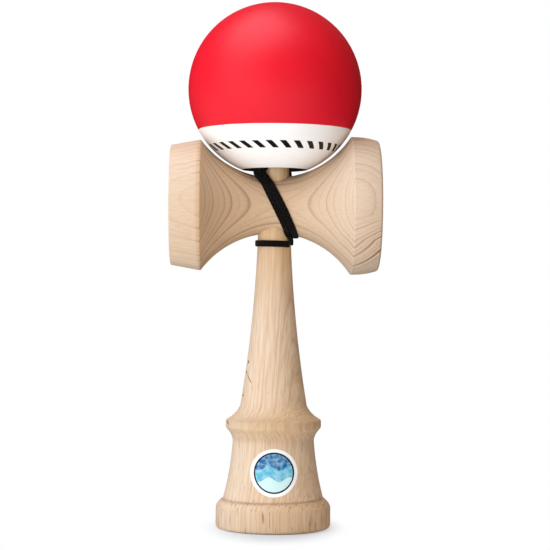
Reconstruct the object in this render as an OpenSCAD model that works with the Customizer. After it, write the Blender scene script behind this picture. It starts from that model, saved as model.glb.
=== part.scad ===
// Wooden cup-and-ball toy: a turned handle with a spike, a crosspiece with two cups,
// a bored ball that stands on the spike, and one flat braided string.
// Millimetres. +Z is up, +X points to the large cup, the origin is the centre of the foot.

/* [Ball] */
// Diameter of the ball
ball_d = 60; // [58:0.5:64]
// How far below the ball's centre the two paint colours meet
colour_drop = 14.2; // [8:0.1:20]
// Diameter of the spike hole
bore_d = 21; // [20:0.25:23]
// Width of the bevel at the mouth of the spike hole
mouth_bevel = 0.8; // [0.3:0.1:1.2]
// Wood left between the end of the spike hole and the top of the ball
crown_t = 8.2; // [7:0.2:9]
// Diameter of the string hole through the crown
string_hole_d = 3.4; // [3.2:0.1:4.5]
// Radius that rounds the outer edge of the string hole
string_hole_round = 2.4; // [1.5:0.1:3]
// Clearance between the mouth of the ball and the saddle under it
seat_gap = 0.6; // [0.3:0.05:0.9]

/* [Crosspiece] */
// Length over the two rims
cross_l = 71.8; // [68:0.5:80]
// Height of the crosspiece's axis above the foot
cross_z = 111.15; // [106:0.1:112]
// Diameter of the waist
waist_d = 19.3; // [18:0.1:22]
// Radius of the hollow that the ball rests over
saddle_r = 31.6; // [31.2:0.1:34]
// Largest diameter of the large cup
large_ridge_d = 47.8; // [44:0.2:50]
// Diameter of the large cup over its rim
large_rim_d = 45.2; // [42:0.2:46]
// Depth of the large cup
large_cup_depth = 10; // [8:0.25:13]
// Largest diameter of the small cup
small_ridge_d = 45.2; // [43:0.2:48]
// Diameter of the small cup over its rim
small_rim_d = 41.4; // [38:0.2:43]
// Depth of the small cup
small_cup_depth = 8.6; // [7:0.2:12]
// Width of the lip round each cup
lip_w = 1.8; // [1.2:0.1:3]
// Radius of the rounded edges of the cups
cup_edge_round = 0.7; // [0.3:0.1:1]
// Radius of the softer outer edge of the large cup's rim
large_rim_round = 1.3; // [0.5:0.1:1.6]
// How far the large cup's outer wall swells
large_wall_swell = 0.3; // [0.1:0.05:0.6]
// Clearance all round the handle in its tapered hole
fit_gap = 0.08; // [0.02:0.02:0.1]

/* [Handle] */
// Room between the point of the spike and the knot inside the ball
tip_gap = 3.2; // [2:0.2:9]
// Diameter of the foot
foot_d = 39.6; // [36:0.2:44]
// Height of the straight side of the foot
foot_h = 7.2; // [5:0.2:8.5]
// Radius of the foot's lower edge
foot_round = 1.2; // [0.5:0.1:1.8]
// Width of the flat rim that the foot stands on
foot_rim_w = 1.6; // [1:0.1:3]
// Depth of the cup under the foot
foot_cup_depth = 7.5; // [5:0.25:9]
// Diameter of the skirt where it meets the foot
skirt_d = 34.6; // [31:0.2:36]
// Height of the bottom of the skirt
skirt_z = 10.2; // [9:0.1:12]
// Diameter of the neck below the collar
neck_d = 28; // [25:0.2:30]
// Height of the neck
neck_z = 30.2; // [27:0.2:31]
// How far the skirt's side is hollowed
skirt_hollow = 0.5; // [0.2:0.1:1]
// Diameter of the collar
collar_d = 32.9; // [30:0.1:36]
// Height of the middle of the collar
collar_z = 35.8; // [35:0.1:37]
// Height of the collar's straight side
collar_h = 2.2; // [1.4:0.1:3]
// Diameter of the shaft above the collar
shaft_d = 23; // [20:0.1:25]
// Height of the bottom of the shaft
shaft_z = 42; // [41:0.2:46]
// How far the shaft's side is hollowed
shaft_hollow = 1; // [0.5:0.05:1.4]
// Diameter of the handle where the crosspiece sits down on it
seat_d = 11.3; // [10.8:0.1:12.5]
// Diameter of the spike where it leaves the crosspiece
spike_d = 10.4; // [9.5:0.1:10.8]
// Diameter of the spike below its point
spike_end_d = 7; // [6:0.1:8]
// Length of the spike's rounded point
point_h = 9; // [6:0.5:12]

/* [Bead] */
// Diameter of the bead inside the ball
bead_d = 7; // [6:0.1:7.4]
// Height of the bead between its flat ends
bead_h = 6.4; // [5.5:0.1:6.6]
// Diameter of the bead's hole
bead_hole_d = 2.6; // [2.4:0.1:3]
// Clearance between the bead, the knot and the crown
bead_gap = 0.2; // [0.1:0.05:0.4]

/* [String] */
// Width of the flat braid
cord_w = 2.05; // [1.8:0.05:2.2]
// Thickness of the flat braid
cord_t = 0.7; // [0.5:0.05:0.8]
// Clearance between the braid and what it lies on
cord_gap = 0.2; // [0.15:0.05:0.3]

/* [Hidden] */
$fn = 180;

// Colours as the finished toy shows them
beech = [0.86, 0.73, 0.58];
pale_beech = [0.88, 0.77, 0.65];
paint_red = [0.80, 0.05, 0.14];
paint_white = [0.94, 0.94, 0.95];
bead_wood = [0.80, 0.62, 0.40];
braid_black = [0.03, 0.03, 0.035];

// Chords that an arc of a turned outline is drawn with
arc_n = 12;
fillet_n = 4;

function unit(v) = v / norm(v);

// Circular arc from p to q that bulges s to the left of the way from p to q
function bow_radius(p, q, s) = (pow(norm(q - p) / 2, 2) + s * s) / (2 * abs(s));
function bow_centre(p, q, s) =
  let (u = unit(q - p), left = [-u[1], u[0]])
  (p + q) / 2 + left * sign(s) * (abs(s) - bow_radius(p, q, s));
function bow(p, q, s, n = arc_n) =
  let (
    u = unit(q - p),
    left = [-u[1], u[0]],
    r = bow_radius(p, q, s),
    half = asin(norm(q - p) / 2 / r)
  )
  [for (i = [0:n])
    let (t = half * (2 * i / n - 1))
    bow_centre(p, q, s) + r * (sin(t) * u + sign(s) * cos(t) * left)];

// Arc of radius r that rounds the corner b between a and c
function fillet(a, b, c, r) =
  let (
    to_a = unit(a - b),
    to_c = unit(c - b),
    half = acos(to_a * to_c) / 2,
    reach = r / tan(half),
    turn = to_a[0] * to_c[1] - to_a[1] * to_c[0]
  )
  bow(b + to_a * reach, b + to_c * reach, sign(turn) * r * (1 - sin(half)), fillet_n);

// Spherical dish of radius r at its lip and depth d: its arc from the middle to the lip
function dish(r, d) =
  let (ball = (r * r + d * d) / (2 * d), open = asin(r / ball))
  [for (i = [0:arc_n])
    let (t = open * i / arc_n)
    [ball * sin(t), d - ball * (1 - cos(t))]];

// Heights and radii shared by pieces that fit each other
ball_r = ball_d / 2;
bore_r = bore_d / 2;
mouth_r = bore_r + mouth_bevel;
mouth_drop = sqrt(pow(ball_r, 2) - pow(mouth_r, 2));
waist_r = waist_d / 2;
saddle_z = cross_z + waist_r + saddle_r;
ball_z = saddle_z + mouth_drop - sqrt(pow(saddle_r - seat_gap, 2) - pow(mouth_r, 2));
bore_end_z = ball_z + ball_r - crown_t;
seat_r = seat_d / 2;
seat_z = cross_z - waist_r;
spike_r = spike_d / 2;
spike_z = cross_z + waist_r;
seat_slope = (seat_r - spike_r) / (spike_z - seat_z);
bead_z = bore_end_z - bead_gap - bead_h / 2;

// Knot under the bead, and the spike that ends below it
knot_d = 1.3;
knot_size = 0.9;
knot_z = bead_z - bead_h / 2 - bead_gap - knot_size - knot_d / 2;
ken_l = knot_z - knot_size - knot_d / 2 - tip_gap;

// Handle

// Corners of the turned outline, as radius and height
foot_corner = [foot_d / 2, 0];
foot_top = [foot_d / 2, foot_h];
skirt_foot = [skirt_d / 2, skirt_z];
neck = [neck_d / 2, neck_z];
collar_low = [collar_d / 2, collar_z - collar_h / 2];
collar_high = [collar_d / 2, collar_z + collar_h / 2];
shaft_foot = [shaft_d / 2, shaft_z];
shaft_top = [seat_r, seat_z];
spike_foot = [spike_r, spike_z];
point_foot = [spike_end_d / 2, ken_l - point_h];
point_top = [0, ken_l];
foot_shoulder_bulge = -0.35;
collar_round = 0.8;
cove_hollow = 0.55;
neck_hollow = 0.3;
point_bulge = -1.1;

module ken() {
  color(beech)
    rotate_extrude()
      polygon(concat(
        dish(foot_corner[0] - foot_round - foot_rim_w, foot_cup_depth),
        fillet([0, 0], foot_corner, foot_top, foot_round),
        bow(foot_top, skirt_foot, foot_shoulder_bulge, fillet_n),
        bow(skirt_foot, neck, skirt_hollow),
        bow(neck, collar_low - [0.8, 1.2] * collar_round, neck_hollow),
        fillet(neck, collar_low, collar_high, collar_round),
        fillet(collar_low, collar_high, shaft_foot, collar_round),
        bow(collar_high + [-0.5, 0.5] * collar_round, shaft_foot, cove_hollow),
        bow(shaft_foot, shaft_top, shaft_hollow),
        [spike_foot],
        bow(point_foot, point_top, point_bulge)
      ));
}

// Crosspiece

function saddle_at(x) = waist_r + saddle_r - sqrt(pow(saddle_r, 2) - x * x);
function ridge_x(r) = sqrt(pow(saddle_r, 2) - pow(waist_r + saddle_r - r, 2));

small_rim = [small_rim_d / 2, -cross_l / 2];
small_ridge = [small_ridge_d / 2, -ridge_x(small_ridge_d / 2)];
large_ridge = [large_ridge_d / 2, ridge_x(large_ridge_d / 2)];
large_rim = [large_rim_d / 2, cross_l / 2];
large_way = unit(large_rim - large_ridge);
saddle_n = 24;
saddle_pts = [for (i = [1:saddle_n - 1])
  let (x = small_ridge[1] + (large_ridge[1] - small_ridge[1]) * i / saddle_n)
  [saddle_at(x), x]];
hole_over = 4;

module sarado() {
  small_dish = dish(small_rim[0] - lip_w, small_cup_depth);
  large_dish = dish(large_rim[0] - lip_w, large_cup_depth);
  color(pale_beech)
    difference() {
      translate([0, 0, cross_z])
        rotate([0, 90, 0])
          rotate_extrude()
            polygon(concat(
              [for (p = small_dish) [p[0], small_rim[1] + p[1]]],
              fillet([0, small_rim[1]], small_rim, small_ridge, cup_edge_round),
              fillet(small_rim, small_ridge, saddle_pts[0], cup_edge_round),
              saddle_pts,
              fillet(saddle_pts[saddle_n - 2], large_ridge, large_rim, cup_edge_round),
              bow(large_ridge + large_way * cup_edge_round, large_rim - large_way * large_rim_round,
                -large_wall_swell),
              fillet(large_ridge, large_rim, [0, large_rim[1]], large_rim_round),
              [for (i = [arc_n:-1:0]) [large_dish[i][0], large_rim[1] - large_dish[i][1]]]
            ));
      translate([0, 0, seat_z - hole_over])
        cylinder(
          h = spike_z - seat_z + 2 * hole_over,
          r1 = seat_r + fit_gap + seat_slope * hole_over,
          r2 = spike_r + fit_gap - seat_slope * hole_over
        );
    }
}

// Ball

flare_r = string_hole_d / 2 + string_hole_round;
flare_z = sqrt(pow(ball_r, 2) - pow(flare_r, 2));
bore_end_round = 2;
over = 1;

module spike_hole() {
  bore_end = bore_end_z - ball_z;
  rotate_extrude()
    polygon(concat(
      [[0, -ball_r - over]],
      [[mouth_r + ball_r - mouth_drop + over, -ball_r - over]],
      [[bore_r, mouth_bevel - mouth_drop]],
      fillet([bore_r, 0], [bore_r, bore_end], [0, bore_end], bore_end_round),
      [[0, bore_end]]
    ));
}

module string_hole() {
  cylinder(h = ball_r + over, d = string_hole_d);
  rotate_extrude()
    difference() {
      translate([0, flare_z - string_hole_round])
        square([flare_r, string_hole_round + over]);
      translate([flare_r, flare_z - string_hole_round])
        circle(r = string_hole_round);
    }
}

module ball_zone(low, high) {
  intersection() {
    sphere(d = ball_d);
    translate([0, 0, low])
      cylinder(h = high - low, r = ball_d);
  }
}

module tama() {
  translate([0, 0, ball_z])
    difference() {
      union() {
        color(paint_red)
          ball_zone(-colour_drop, ball_d);
        color(paint_white)
          ball_zone(-ball_d, -colour_drop);
      }
      spike_hole();
      string_hole();
    }
}

// Bead and its knot

knot_rings = 36;

module bead() {
  color(bead_wood)
    translate([0, 0, bead_z])
      difference() {
        intersection() {
          sphere(d = bead_d);
          cylinder(h = bead_h, r = bead_d, center = true);
        }
        cylinder(h = bead_d, d = bead_hole_d, center = true);
      }
}

// Overhand knot, drawn as the closed curve of one
function knot_at(t) =
  [sin(t) + 2 * sin(2 * t), cos(t) - 2 * cos(2 * t), -sin(3 * t)] * knot_size + [0, 0, knot_z];

module bead_knot() {
  color(braid_black)
    closed_tube([for (i = [0:knot_rings - 1]) knot_at(360 * i / knot_rings)], knot_d);
}

// Swept braid: each stop of a route is a point and the way that the flat side faces

function band_ring(at, along, out, w, t, sides) =
  let (up = unit(out - (out * along) * along), side = cross(along, up))
  [for (j = [0:sides - 1])
    at + side * (w / 2 * cos(360 * j / sides)) + up * (t / 2 * sin(360 * j / sides))];

function heading(route, i) =
  unit(route[min(i + 1, len(route) - 1)][0] - route[max(i - 1, 0)][0]);

function band_points(route, sides) =
  [for (i = [0:len(route) - 1])
    each band_ring(route[i][0], heading(route, i), route[i][1], cord_w, cord_t, sides)];

function tube_faces(rings, sides) =
  [for (i = [0:rings - 2]) for (j = [0:sides - 1])
    let (k = (j + 1) % sides, a = i * sides, b = a + sides)
    each [[a + j, a + k, b + j], [a + k, b + k, b + j]]];

function cap_faces(first, sides, flip) =
  [for (j = [1:sides - 2])
    flip ? [first, first + j + 1, first + j] : [first, first + j, first + j + 1]];

module band(route, sides = 8) {
  rings = len(route);
  polyhedron(
    band_points(route, sides),
    concat(
      tube_faces(rings, sides),
      cap_faces(0, sides, true),
      cap_faces((rings - 1) * sides, sides, false)
    )
  );
}

module closed_tube(path, d, sides = 6) {
  rings = len(path);
  points = [for (i = [0:rings - 1])
    each band_ring(path[i], unit(path[(i + 1) % rings] - path[(i + rings - 1) % rings]),
      [0, 0, 1], d, d, sides)];
  faces = [for (f = tube_faces(rings + 1, sides)) [for (v = f) v % (rings * sides)]];
  polyhedron(points, faces);
}

// Length of a route, and the least gap between turns that lie further apart than skip rings
function route_length(route) =
  let (step = [for (i = [1:len(route) - 1]) norm(route[i][0] - route[i - 1][0])])
  step * [for (s = step) 1];
function least_gap(route, sides, skip) =
  let (p = band_points(route, sides), last = len(p) - 1)
  min([for (i = [0:last]) for (j = [i + skip * sides:1:last]) norm(p[i] - p[j])]);

// Stops where the braid lies on the waist, on the shaft, on the back of the ball
lie = cord_gap + cord_t / 2;
function shaft_at(z) =
  let (c = bow_centre(shaft_foot, shaft_top, shaft_hollow))
  c[0] - sqrt(pow(bow_radius(shaft_foot, shaft_top, shaft_hollow), 2) - pow(z - c[1], 2));
function on_waist(x, a) =
  let (r = saddle_at(x) + lie)
  [[x, -r * cos(a), cross_z + r * sin(a)], [0, -cos(a), sin(a)]];
function on_shaft(a, z) =
  let (r = shaft_at(z) + lie)
  [[r * cos(a), r * sin(a), z], [cos(a), sin(a), 0]];
function on_ball(x, lat) =
  let (out = [x, cos(lat) * sqrt(pow(ball_r + lie, 2) - x * x),
    sin(lat) * sqrt(pow(ball_r + lie, 2) - x * x)])
  [[0, 0, ball_z] + out, out];

// The two strands cross the waist side by side; x is their place at the axis's level
strand_left = -0.2;
strand_right = 2.2;
strand_slant = 5.1;
strand_step = 11;
// Angle that keeps the cut ends of two stretches just apart where they meet
strand_part = 1;

// Turn round the shaft, from its right side past the back and the left to the front
leave_a = 55;
turn_step = 15;
turn_end = 315;
turn_top_z = seat_z - 2.95;
turn_drop = 1;
loop_down = [[-42, -0.45], [-21, -1.55]];
hitch_a = -38;
hitch_r = 0.9;

loop_route = concat(
  [for (a = [0:strand_step:leave_a])
    let (b = max(a, strand_part))
    on_waist(strand_left + strand_slant * sin(b), -b)],
  [let (s = on_shaft(loop_down[0][0], seat_z + loop_down[0][1]))
    [s[0], s[1] + [0, -cos(leave_a), -sin(leave_a)]]],
  [on_shaft(loop_down[1][0], seat_z + loop_down[1][1])],
  [for (a = [0:turn_step:turn_end]) on_shaft(a, turn_top_z - turn_drop * a / 360)]
);

// Length that is tucked into the ball and goes twice round the spike
enter_a = 44;
tuck_from = -118;
tuck_sweep = 708;
tuck_steps = 48;
tuck_in_r = spike_r + 1.4;
tuck_out_r = bore_r - 1.5;
tuck_z = ball_z - mouth_drop + 1;
tuck_h = ken_l - 3.5 - tuck_z;
enter_right = [[-4.1, -6.6, -2.6], [-0.25, -0.9, 0.35]];
enter_left = [[-6.4, -6.9, -2.4], [-0.35, -0.85, 0.3]];

function tuck_at(t) =
  let (
    a = tuck_from + tuck_sweep * t,
    r = (tuck_in_r + tuck_out_r - (tuck_out_r - tuck_in_r) * cos(180 * t)) / 2
  )
  [[r * cos(a), r * sin(a), tuck_z + tuck_h * sin(180 * t)], [cos(a), sin(a), 0]];

tuck_route = concat(
  [for (a = [0:strand_step:enter_a]) on_waist(strand_right - strand_slant * sin(a), a)],
  [[enter_right[0] + [0, 0, tuck_z], enter_right[1]]],
  [for (i = [0:tuck_steps]) tuck_at(i / tuck_steps)],
  [[enter_left[0] + [0, 0, tuck_z], enter_left[1]]],
  [for (a = [enter_a:-strand_step:0]) on_waist(strand_left - strand_slant * sin(a), a)]
);

// Sling under the waist, then the taut run to the back of the ball
sling_x = strand_right + strand_slant;
sling_drift = 0.5;
taut_x = sling_x - sling_drift;
taut_a = asin((ball_r - saddle_at(taut_x)) / (ball_z - cross_z));
sling_n = 12;
ball_x = 4.4;
taut_n = 7;
ball_n = 11;
flare_n = 5;
crown_lat = acos(flare_r / (ball_r + lie));

function sling_at(a) =
  on_waist(
    a < 90 ? strand_right + strand_slant * sin(a) : sling_x - sling_drift * pow((a - 90) / 60, 2),
    -a
  );
sling_route = [for (i = [0:sling_n]) sling_at(max((180 - taut_a) * i / sling_n, strand_part))];

function ball_stop(t) = on_ball(ball_x * (1 - t), -taut_a + (crown_lat + taut_a) * t);
function flare_stop(a) =
  [[0, flare_r + (string_hole_round + lie) * cos(a),
    ball_z + flare_z - string_hole_round + (string_hole_round + lie) * sin(a)],
    [0, cos(a), sin(a)]];
back_route = concat(
  [for (i = [0:taut_n - 1])
    let (a = sling_route[sling_n], b = ball_stop(0))
    [a[0] + (b[0] - a[0]) * i / taut_n, a[1]]],
  [for (i = [0:ball_n]) ball_stop(i / ball_n)],
  [for (i = [1:flare_n]) flare_stop(90 + 90 * i / flare_n)],
  [[[0, 0.3, bore_end_z + 1], [0, -1, 0]]],
  [[[0, 0, bead_z + bead_h / 4], [0, -1, 0]]],
  [[[0, 0, bead_z - bead_h / 2], [0, -1, 0]]]
);

echo(string_length = route_length(loop_route) + route_length(tuck_route)
  + route_length(sling_route) + route_length(back_route));
echo(loop_gap = least_gap(loop_route, 6, 6), tuck_gap = least_gap(tuck_route, 6, 6));

module string_loop() {
  color(braid_black)
    band(loop_route, 6);
}

// Knot that closes the turn over the strand that comes down to it
module string_hitch() {
  low = turn_top_z - turn_drop * turn_end / 360;
  high = seat_z + loop_down[0][1] - hitch_r;
  color(braid_black)
    rotate([0, 0, hitch_a])
      translate([shaft_at(low) + cord_gap + cord_t + hitch_r / 3, 0, low]) {
        cylinder(h = high - low, r = hitch_r);
        sphere(r = hitch_r);
        translate([0, 0, high - low])
          sphere(r = hitch_r);
      }
}

module string_tuck() {
  color(braid_black)
    band(tuck_route, 6);
}

module string_sling() {
  color(braid_black)
    band(sling_route);
}

module string_back() {
  color(braid_black)
    band(back_route);
}

ken();
sarado();
tama();
bead();
bead_knot();
string_loop();
string_hitch();
string_tuck();
string_sling();
string_back();
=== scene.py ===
import math

import bpy
from mathutils import Matrix, Vector


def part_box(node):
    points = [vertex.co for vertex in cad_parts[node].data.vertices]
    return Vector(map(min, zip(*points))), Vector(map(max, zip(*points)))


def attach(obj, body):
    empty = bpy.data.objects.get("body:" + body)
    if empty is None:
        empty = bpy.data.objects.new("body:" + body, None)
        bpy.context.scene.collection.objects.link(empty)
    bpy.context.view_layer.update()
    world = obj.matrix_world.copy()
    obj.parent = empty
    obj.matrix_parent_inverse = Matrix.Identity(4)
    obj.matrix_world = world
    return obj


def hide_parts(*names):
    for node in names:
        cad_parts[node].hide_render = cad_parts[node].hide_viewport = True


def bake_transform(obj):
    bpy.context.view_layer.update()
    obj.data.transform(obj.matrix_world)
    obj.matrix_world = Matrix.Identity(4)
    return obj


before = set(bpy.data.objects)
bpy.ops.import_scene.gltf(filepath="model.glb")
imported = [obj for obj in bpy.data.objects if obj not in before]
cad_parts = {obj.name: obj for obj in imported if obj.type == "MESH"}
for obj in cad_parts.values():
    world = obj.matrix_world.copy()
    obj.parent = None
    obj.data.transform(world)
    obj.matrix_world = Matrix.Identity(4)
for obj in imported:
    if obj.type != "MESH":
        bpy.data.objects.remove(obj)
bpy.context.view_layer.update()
mm = 0.001  # the outlines below are in millimetres, the scene is in metres
print("frame loaded:", ", ".join(sorted(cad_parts)))


# camera, where the photograph was taken from
viewpoint = {
    "distance": 585, "height": 82, "azimuth": -1.2, "aim": (0.3, 0, 87.1), "roll": 0.29,
    "lens": 110.6, "sensor": 36, "nearest": 10,
}


def clearSelection():
    if bpy.context.object and bpy.context.object.mode != "OBJECT":
        bpy.ops.object.mode_set(mode="OBJECT")
    bpy.ops.object.select_all(action="DESELECT")


def selectOnly(piece):
    clearSelection()
    piece.select_set(True)
    bpy.context.view_layer.objects.active = piece


def placeCamera(v):
    clearSelection()
    turn = math.radians(v["azimuth"])
    place = Vector((math.sin(turn) * v["distance"], -math.cos(turn) * v["distance"], v["height"])) * mm
    bpy.ops.object.camera_add(location=place)
    camera = bpy.context.object
    camera.name = "photoCamera"
    look = (Vector(v["aim"]) * mm - place).to_track_quat("-Z", "Y").to_matrix()
    camera.rotation_euler = (look @ Matrix.Rotation(math.radians(v["roll"]), 3, "Z")).to_euler()
    camera.data.lens = v["lens"]
    camera.data.sensor_width = v["sensor"]
    camera.data.clip_start = v["nearest"] * mm
    bpy.context.scene.camera = camera


placeCamera(viewpoint)
print("camera placed")


# outlines of the turned pieces, shared by their own code and by the string that lies on them
handle = {
    "length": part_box("ken")[1].z / mm, "footRadius": 19.8, "footHeight": 7.2, "footRound": 1.2,
    "rimWidth": 1.6, "cupDepth": 7.5, "shoulderBulge": -0.35, "skirt": (17.3, 10.2), "skirtHollow": 0.5,
    "neck": (14.0, 30.2), "neckHollow": 0.3, "neckEnd": (0.8, 1.2),
    "collarRadius": 16.45, "collarZ": 35.8, "collarHeight": 2.2, "collarRound": 0.8,
    "coveStart": (-0.5, 0.5), "coveHollow": 0.55, "shaft": (11.5, 42.0), "shaftHollow": 1.0,
    "seatRadius": 5.65, "spikeRadius": 5.2, "spikeEnd": 3.5, "pointHeight": 9.0, "pointBulge": -1.1,
    "spinSteps": 160,
}
crosspiece = {
    "length": 71.8, "axisZ": 111.15, "waist": 9.65, "saddle": 31.6, "lip": 1.8, "edgeRound": 0.7,
    "largeRidge": 23.9, "largeRim": 22.6, "largeDepth": 10.0, "rimRound": 1.3, "wallSwell": 0.3,
    "smallRidge": 22.6, "smallRim": 20.7, "smallDepth": 8.6,
    "holeGap": 0.08, "holeOver": 4, "holeSides": 96, "saddleSteps": 48, "spinSteps": 160,
}
ball = {
    "radius": 30, "bore": 10.5, "bevel": 0.8, "crown": 8.2, "stringHole": 1.7, "holeRound": 2.4,
    "seatGap": 0.6, "boreRound": 2.0, "skinSteps": 72, "flareSteps": 8, "spinSteps": 192,
}
ball["mouth"] = ball["bore"] + ball["bevel"]
ball["mouthDrop"] = math.sqrt(ball["radius"] ** 2 - ball["mouth"] ** 2)
ball["boreEnd"] = ball["radius"] - ball["crown"]  # height of the bore's roof above the ball's centre
ball["flare"] = ball["stringHole"] + ball["holeRound"]  # radius of the string hole's rounded mouth
ball["flareTop"] = math.sqrt(ball["radius"] ** 2 - ball["flare"] ** 2)
ball["z"] = (
    crosspiece["axisZ"] + crosspiece["waist"] + crosspiece["saddle"] + ball["mouthDrop"]
    - math.sqrt((crosspiece["saddle"] - ball["seatGap"]) ** 2 - ball["mouth"] ** 2)
)
seatZ = crosspiece["axisZ"] - crosspiece["waist"]
spikeZ = crosspiece["axisZ"] + crosspiece["waist"]


def bowCircle(start, end, sag):
    a, b = Vector(start), Vector(end)
    along = (b - a).normalized()
    left = Vector((-along.y, along.x))
    radius = (((b - a).length / 2) ** 2 + sag * sag) / (2 * abs(sag))
    side = math.copysign(1, sag)
    return (a + b) / 2 + left * side * (abs(sag) - radius), radius, along, left * side


# points of an arc from start to end that bulges to the left by sag
def bow(start, end, sag, count=24):
    centre, radius, along, out = bowCircle(start, end, sag)
    half = math.asin((Vector(end) - Vector(start)).length / 2 / radius)
    turns = [half * (2 * i / count - 1) for i in range(count + 1)]
    return [centre + radius * (math.sin(t) * along + math.cos(t) * out) for t in turns]


# points of the arc that rounds the corner between before and after
def roundCorner(before, corner, after, radius, count=8):
    c = Vector(corner)
    toBefore = (Vector(before) - c).normalized()
    toAfter = (Vector(after) - c).normalized()
    half = toBefore.angle(toAfter) / 2
    reach = radius / math.tan(half)
    turn = toBefore.x * toAfter.y - toBefore.y * toAfter.x
    sag = math.copysign(radius * (1 - math.sin(half)), turn)
    return bow(c + toBefore * reach, c + toAfter * reach, sag, count)


# a spherical dish, from its middle to its lip, as radius and depth
def dish(radius, depth, count=24):
    sphere = (radius ** 2 + depth ** 2) / (2 * depth)
    opening = math.asin(radius / sphere)
    turns = [opening * i / count for i in range(count + 1)]
    return [Vector((sphere * math.sin(t), depth - sphere * (1 - math.cos(t)))) for t in turns]


def saddleAt(x):
    c = crosspiece
    return c["waist"] + c["saddle"] - math.sqrt(c["saddle"] ** 2 - x * x)


def shaftAt(z):
    h = handle
    centre, radius = bowCircle(h["shaft"], (h["seatRadius"], seatZ), h["shaftHollow"])[:2]
    return centre.x - math.sqrt(radius ** 2 - (z - centre.y) ** 2)


# string: a flat braid that follows stops, each a point and the way its flat side faces
braid = {
    "width": 2.2, "thickness": 0.7, "gap": 0.2, "left": -0.2, "right": 2.2, "slant": 5.1,
    "waistStep": 11, "ringStep": 0.45, "sides": 16, "flatness": 0.7, "smoothAngle": 50,
}
lie = braid["gap"] + braid["thickness"] / 2


def sind(a):
    return math.sin(math.radians(a))


def cosd(a):
    return math.cos(math.radians(a))


def onWaist(x, a):
    r = saddleAt(x) + lie
    return Vector((x, -r * cosd(a), crosspiece["axisZ"] + r * sind(a))), Vector((0, -cosd(a), sind(a)))


def onShaft(a, z):
    r = shaftAt(z) + lie
    return Vector((r * cosd(a), r * sind(a), z)), Vector((cosd(a), sind(a), 0))


def onBall(x, latitude):
    r = math.sqrt((ball["radius"] + lie) ** 2 - x * x)
    out = Vector((x, r * cosd(latitude), r * sind(latitude)))
    return out + Vector((0, 0, ball["z"])), out.normalized()


# from the waist down to the handle and once round it
turnRound = {
    "leave": 55, "down": ((-42, -0.45), (-21, -1.55)),
    "topZ": seatZ - 2.95, "drop": 1.0, "end": 322, "step": 15,
}


def loopStops(t):
    fall = range(0, t["leave"] + 1, braid["waistStep"])
    stops = [onWaist(braid["left"] + braid["slant"] * sind(a), -a) for a in fall]
    for i, (a, drop) in enumerate(t["down"]):
        point, out = onShaft(a, seatZ + drop)
        if i == 0:
            out = out + Vector((0, -cosd(t["leave"]), -sind(t["leave"])))
        stops.append((point, out.normalized()))
    turns = [*range(0, t["end"], t["step"]), t["end"]]
    return stops + [onShaft(a, t["topZ"] - t["drop"] * a / 360) for a in turns]


# tucked into the ball, twice round the spike
tuck = {
    "enter": 44, "start": -118, "sweep": 708, "steps": 48,
    "inner": 6.6, "outer": 9.0, "lift": 1, "height": 32,
    "right": ((-4.1, -6.6, -2.6), (-0.25, -0.9, 0.35)), "left": ((-6.4, -6.9, -2.4), (-0.35, -0.85, 0.3)),
}


def tuckStops(t):
    base = ball["z"] - ball["mouthDrop"] + t["lift"]
    rise = list(range(0, t["enter"] + 1, braid["waistStep"]))
    stops = [onWaist(braid["right"] - braid["slant"] * sind(a), a) for a in rise]
    stops.append((Vector(t["right"][0]) + Vector((0, 0, base)), Vector(t["right"][1]).normalized()))
    for i in range(t["steps"] + 1):
        s = i / t["steps"]
        a = t["start"] + t["sweep"] * s
        r = (t["inner"] + t["outer"] - (t["outer"] - t["inner"]) * cosd(180 * s)) / 2
        out = Vector((cosd(a), sind(a), 0))
        stops.append((out * r + Vector((0, 0, base + t["height"] * sind(180 * s))), out))
    stops.append((Vector(t["left"][0]) + Vector((0, 0, base)), Vector(t["left"][1]).normalized()))
    return stops + [onWaist(braid["left"] - braid["slant"] * sind(a), a) for a in reversed(rise)]


# under the waist, up to the back of the ball and down through the crown to the bead
bead = {"radius": 3.5, "height": 6.4, "hole": 1.3, "gap": 0.2, "skinSteps": 20, "spinSteps": 64}
bead["z"] = ball["z"] + ball["boreEnd"] - bead["gap"] - bead["height"] / 2
backRun = {
    "drift": 0.5, "driftTurn": 60, "slingSteps": 12, "tautSteps": 7, "ballX": 4.4, "ballSteps": 11,
    "flareSteps": 5, "inBore": (0, 0.3, 1),
}


def backStops(b):
    bottomX = braid["right"] + braid["slant"]
    rise = ball["radius"] - saddleAt(bottomX - b["drift"])
    taut = math.degrees(math.asin(rise / (ball["z"] - crosspiece["axisZ"])))
    stops = []
    for i in range(b["slingSteps"] + 1):
        a = (180 - taut) * i / b["slingSteps"]
        x = braid["right"] + braid["slant"] * sind(a)
        if a >= 90:
            x = bottomX - b["drift"] * ((a - 90) / b["driftTurn"]) ** 2
        stops.append(onWaist(x, -a))
    flareZ = ball["z"] + ball["flareTop"] - ball["holeRound"]
    crown = math.degrees(math.acos(ball["flare"] / (ball["radius"] + lie)))
    onBack = [onBall(b["ballX"] * (1 - i / b["ballSteps"]), -taut + (crown + taut) * i / b["ballSteps"])
              for i in range(b["ballSteps"] + 1)]
    first, out = stops[-1]
    stops += [(first.lerp(onBack[0][0], i / b["tautSteps"]), out) for i in range(1, b["tautSteps"])]
    stops += onBack
    for i in range(1, b["flareSteps"] + 1):
        a = 90 + 90 * i / b["flareSteps"]
        out = Vector((0, cosd(a), sind(a)))
        stops.append((Vector((0, ball["flare"], flareZ)) + out * (ball["holeRound"] + lie), out))
    inward = Vector((0, -1, 0))
    stops.append((Vector(b["inBore"]) + Vector((0, 0, ball["z"] + ball["boreEnd"])), inward))
    stops.append((Vector((0, 0, bead["z"] + bead["height"] / 4)), inward))
    stops.append((Vector((0, 0, bead["z"] - bead["height"] / 2)), inward))
    return stops


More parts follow.
